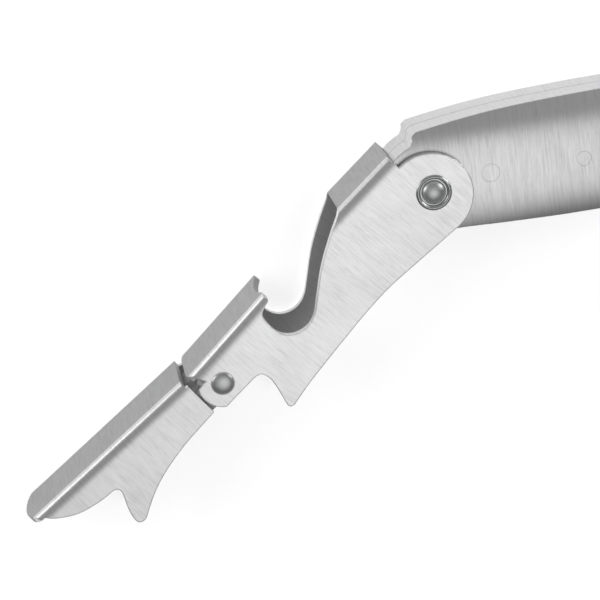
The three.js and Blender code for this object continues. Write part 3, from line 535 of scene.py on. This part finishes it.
def floor_material():
    """Plain white that the camera sees as white, with the shadow kept."""
    material = Material("floor_white")
    material.set("Base Color", (FLOOR_WHITE, FLOOR_WHITE, FLOOR_WHITE, 1))
    material.set("Roughness", FLOOR_ROUGHNESS)
    material.set("Specular IOR Level", 0)
    seen = material.add("LightPath").outputs
    camera_part = material.math("MULTIPLY", seen["Is Camera Ray"], FLOOR_GLOW)
    mirror_part = material.math("MULTIPLY", seen["Is Glossy Ray"], FLOOR_SHINE)
    glow = material.add("Emission")
    material.link(material.math("ADD", camera_part, mirror_part), glow.inputs["Strength"])
    total = material.add("AddShader")
    material.link(material.shader.outputs[0], total.inputs[0])
    material.link(glow.outputs[0], total.inputs[1])
    material.link(total.outputs[0], material.output.inputs["Surface"])
    return material.data


def add_floor():
    mesh = bpy.data.meshes.new("floor")
    corners = [(x * FLOOR_HALF, y * FLOOR_HALF, 0) for x, y in ((-1, -1), (1, -1), (1, 1), (-1, 1))]
    mesh.from_pydata(corners, [], [range(len(corners))])
    floor = add_object("floor", mesh)
    floor.location.z = CAD_BOX[0][2] - FLOOR_GAP
    mesh.materials.append(floor_material())


def applied(piece):
    """Turns the piece's modifiers into mesh."""
    graph = bpy.context.evaluated_depsgraph_get()
    mesh = bpy.data.meshes.new_from_object(piece.evaluated_get(graph))
    old = piece.data
    piece.modifiers.clear()
    piece.data = mesh
    bpy.data.meshes.remove(old)


def at_flush_hole(point):
    """Whether a point lies on the wall of one of the flush rivets' holes."""
    return any(math.hypot(point.x - x, point.y - y) < reach for x, y, reach in FLUSH_HOLES)


def edge_share(node, middle):
    """The share of the easing that an edge gets: little at flush rivets and at the seam."""
    crisp_hole = node in SHELLS + FLUSH_RIVETS and at_flush_hole(middle)
    crisp_seam = node in SHELLS and abs(middle.z - PIVOT.z) < SEAM_REACH
    return CRISP_SHARE if crisp_hole or crisp_seam else 1


def cleaned(node, mesh):
    """Joins a mesh's flat facets, weighs its sharp edges and gives its surface to search."""
    work = bmesh.new()
    work.from_mesh(mesh)
    bmesh.ops.remove_doubles(work, verts=work.verts, dist=WELD)
    bmesh.ops.dissolve_limit(
        work, angle_limit=math.radians(FLAT_DEG), verts=work.verts, edges=work.edges,
        use_dissolve_boundaries=False
    )
    weight = work.edges.layers.float.new("bevel_weight_edge")
    for line in work.edges:
        if len(line.link_faces) == 2 and line.calc_face_angle() >= math.radians(SHARP_DEG):
            line[weight] = edge_share(node, (line.verts[0].co + line.verts[1].co) / 2)
    surface = BVHTree.FromBMesh(work)
    work.to_mesh(mesh)
    work.free()
    for face in mesh.polygons:
        face.use_smooth = True
    return surface


def drop_spikes(piece, surface, reach):
    """Brings vertices that left the shape where edges crowd back onto it."""
    for vertex in piece.data.vertices:
        place, _, _, distance = surface.find_nearest(vertex.co)
        if distance > reach:
            vertex.co = place


def refined(node, material, edge):
    """A finer piece in place of a node: the same shape with its edges eased and smooth bends."""
    source = frame["nodes"][node]
    piece = add_object(node + "_finished", source.data.copy())
    surface = cleaned(node, piece.data)
    bevel = piece.modifiers.new("eased_edges", "BEVEL")
    bevel.width = edge
    bevel.segments = EASING_SEGMENTS
    bevel.limit_method = "WEIGHT"
    bevel.use_clamp_overlap = False
    normals = piece.modifiers.new("flat_faces", "WEIGHTED_NORMAL")
    normals.keep_sharp = True
    applied(piece)
    drop_spikes(piece, surface, SPIKE_SHARE * edge)
    piece.data.materials.clear()
    piece.data.materials.append(material)
    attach(piece, source["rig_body"])
    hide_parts(node)


def finishes():
    """A table of each node's material and easing, and those of the nodes that aren't in it."""
    second_turn = LEVER_OPEN_DEG + SECOND_TILT_DEG
    handle = handle_steel()
    first = lever_steel("first_lever_brushed_steel", FIRST_LEVER_STEEL, LEVER_OPEN_DEG)
    second = lever_steel("second_lever_brushed_steel", SECOND_LEVER_STEEL, second_turn)
    blade = blade_steel()
    rivet = turned_steel("rivet_steel", RIVET_STEEL)
    collar = turned_steel("collar_steel", COLLAR_STEEL)
    plain = turned_steel("plain_steel", PLAIN_STEEL)
    bright = turned_steel("worm_bright_steel", WORM_STEEL)
    table = {
        "first_lever": (first, SHEET_EDGE),
        "second_lever": (second, SHEET_EDGE),
        "foil_knife": (blade, BLADE_EDGE),
        "pivot_collar_upper": (collar, TURNED_EDGE),
        "pivot_collar_lower": (collar, TURNED_EDGE),
        "worm": (bright, BLADE_EDGE),
    }
    table.update({node: (handle, SHELL_EDGE) for node in SHELLS})
    table.update({node: (handle, TURNED_EDGE) for node in FLUSH_RIVETS})
    table.update({node: (rivet, TURNED_EDGE) for node in ("pivot_rivet", "hinge_rivet", "knife_rivet")})
    return table, (plain, TURNED_EDGE)


bpy.context.scene.view_settings.view_transform = "Standard"
add_camera()
for lamp in LAMPS:
    add_lamp(*lamp)
add_world()
add_floor()

TABLE, OTHERS = finishes()
for node in frame["nodes"]:
    refined(node, *TABLE.get(node, OTHERS))
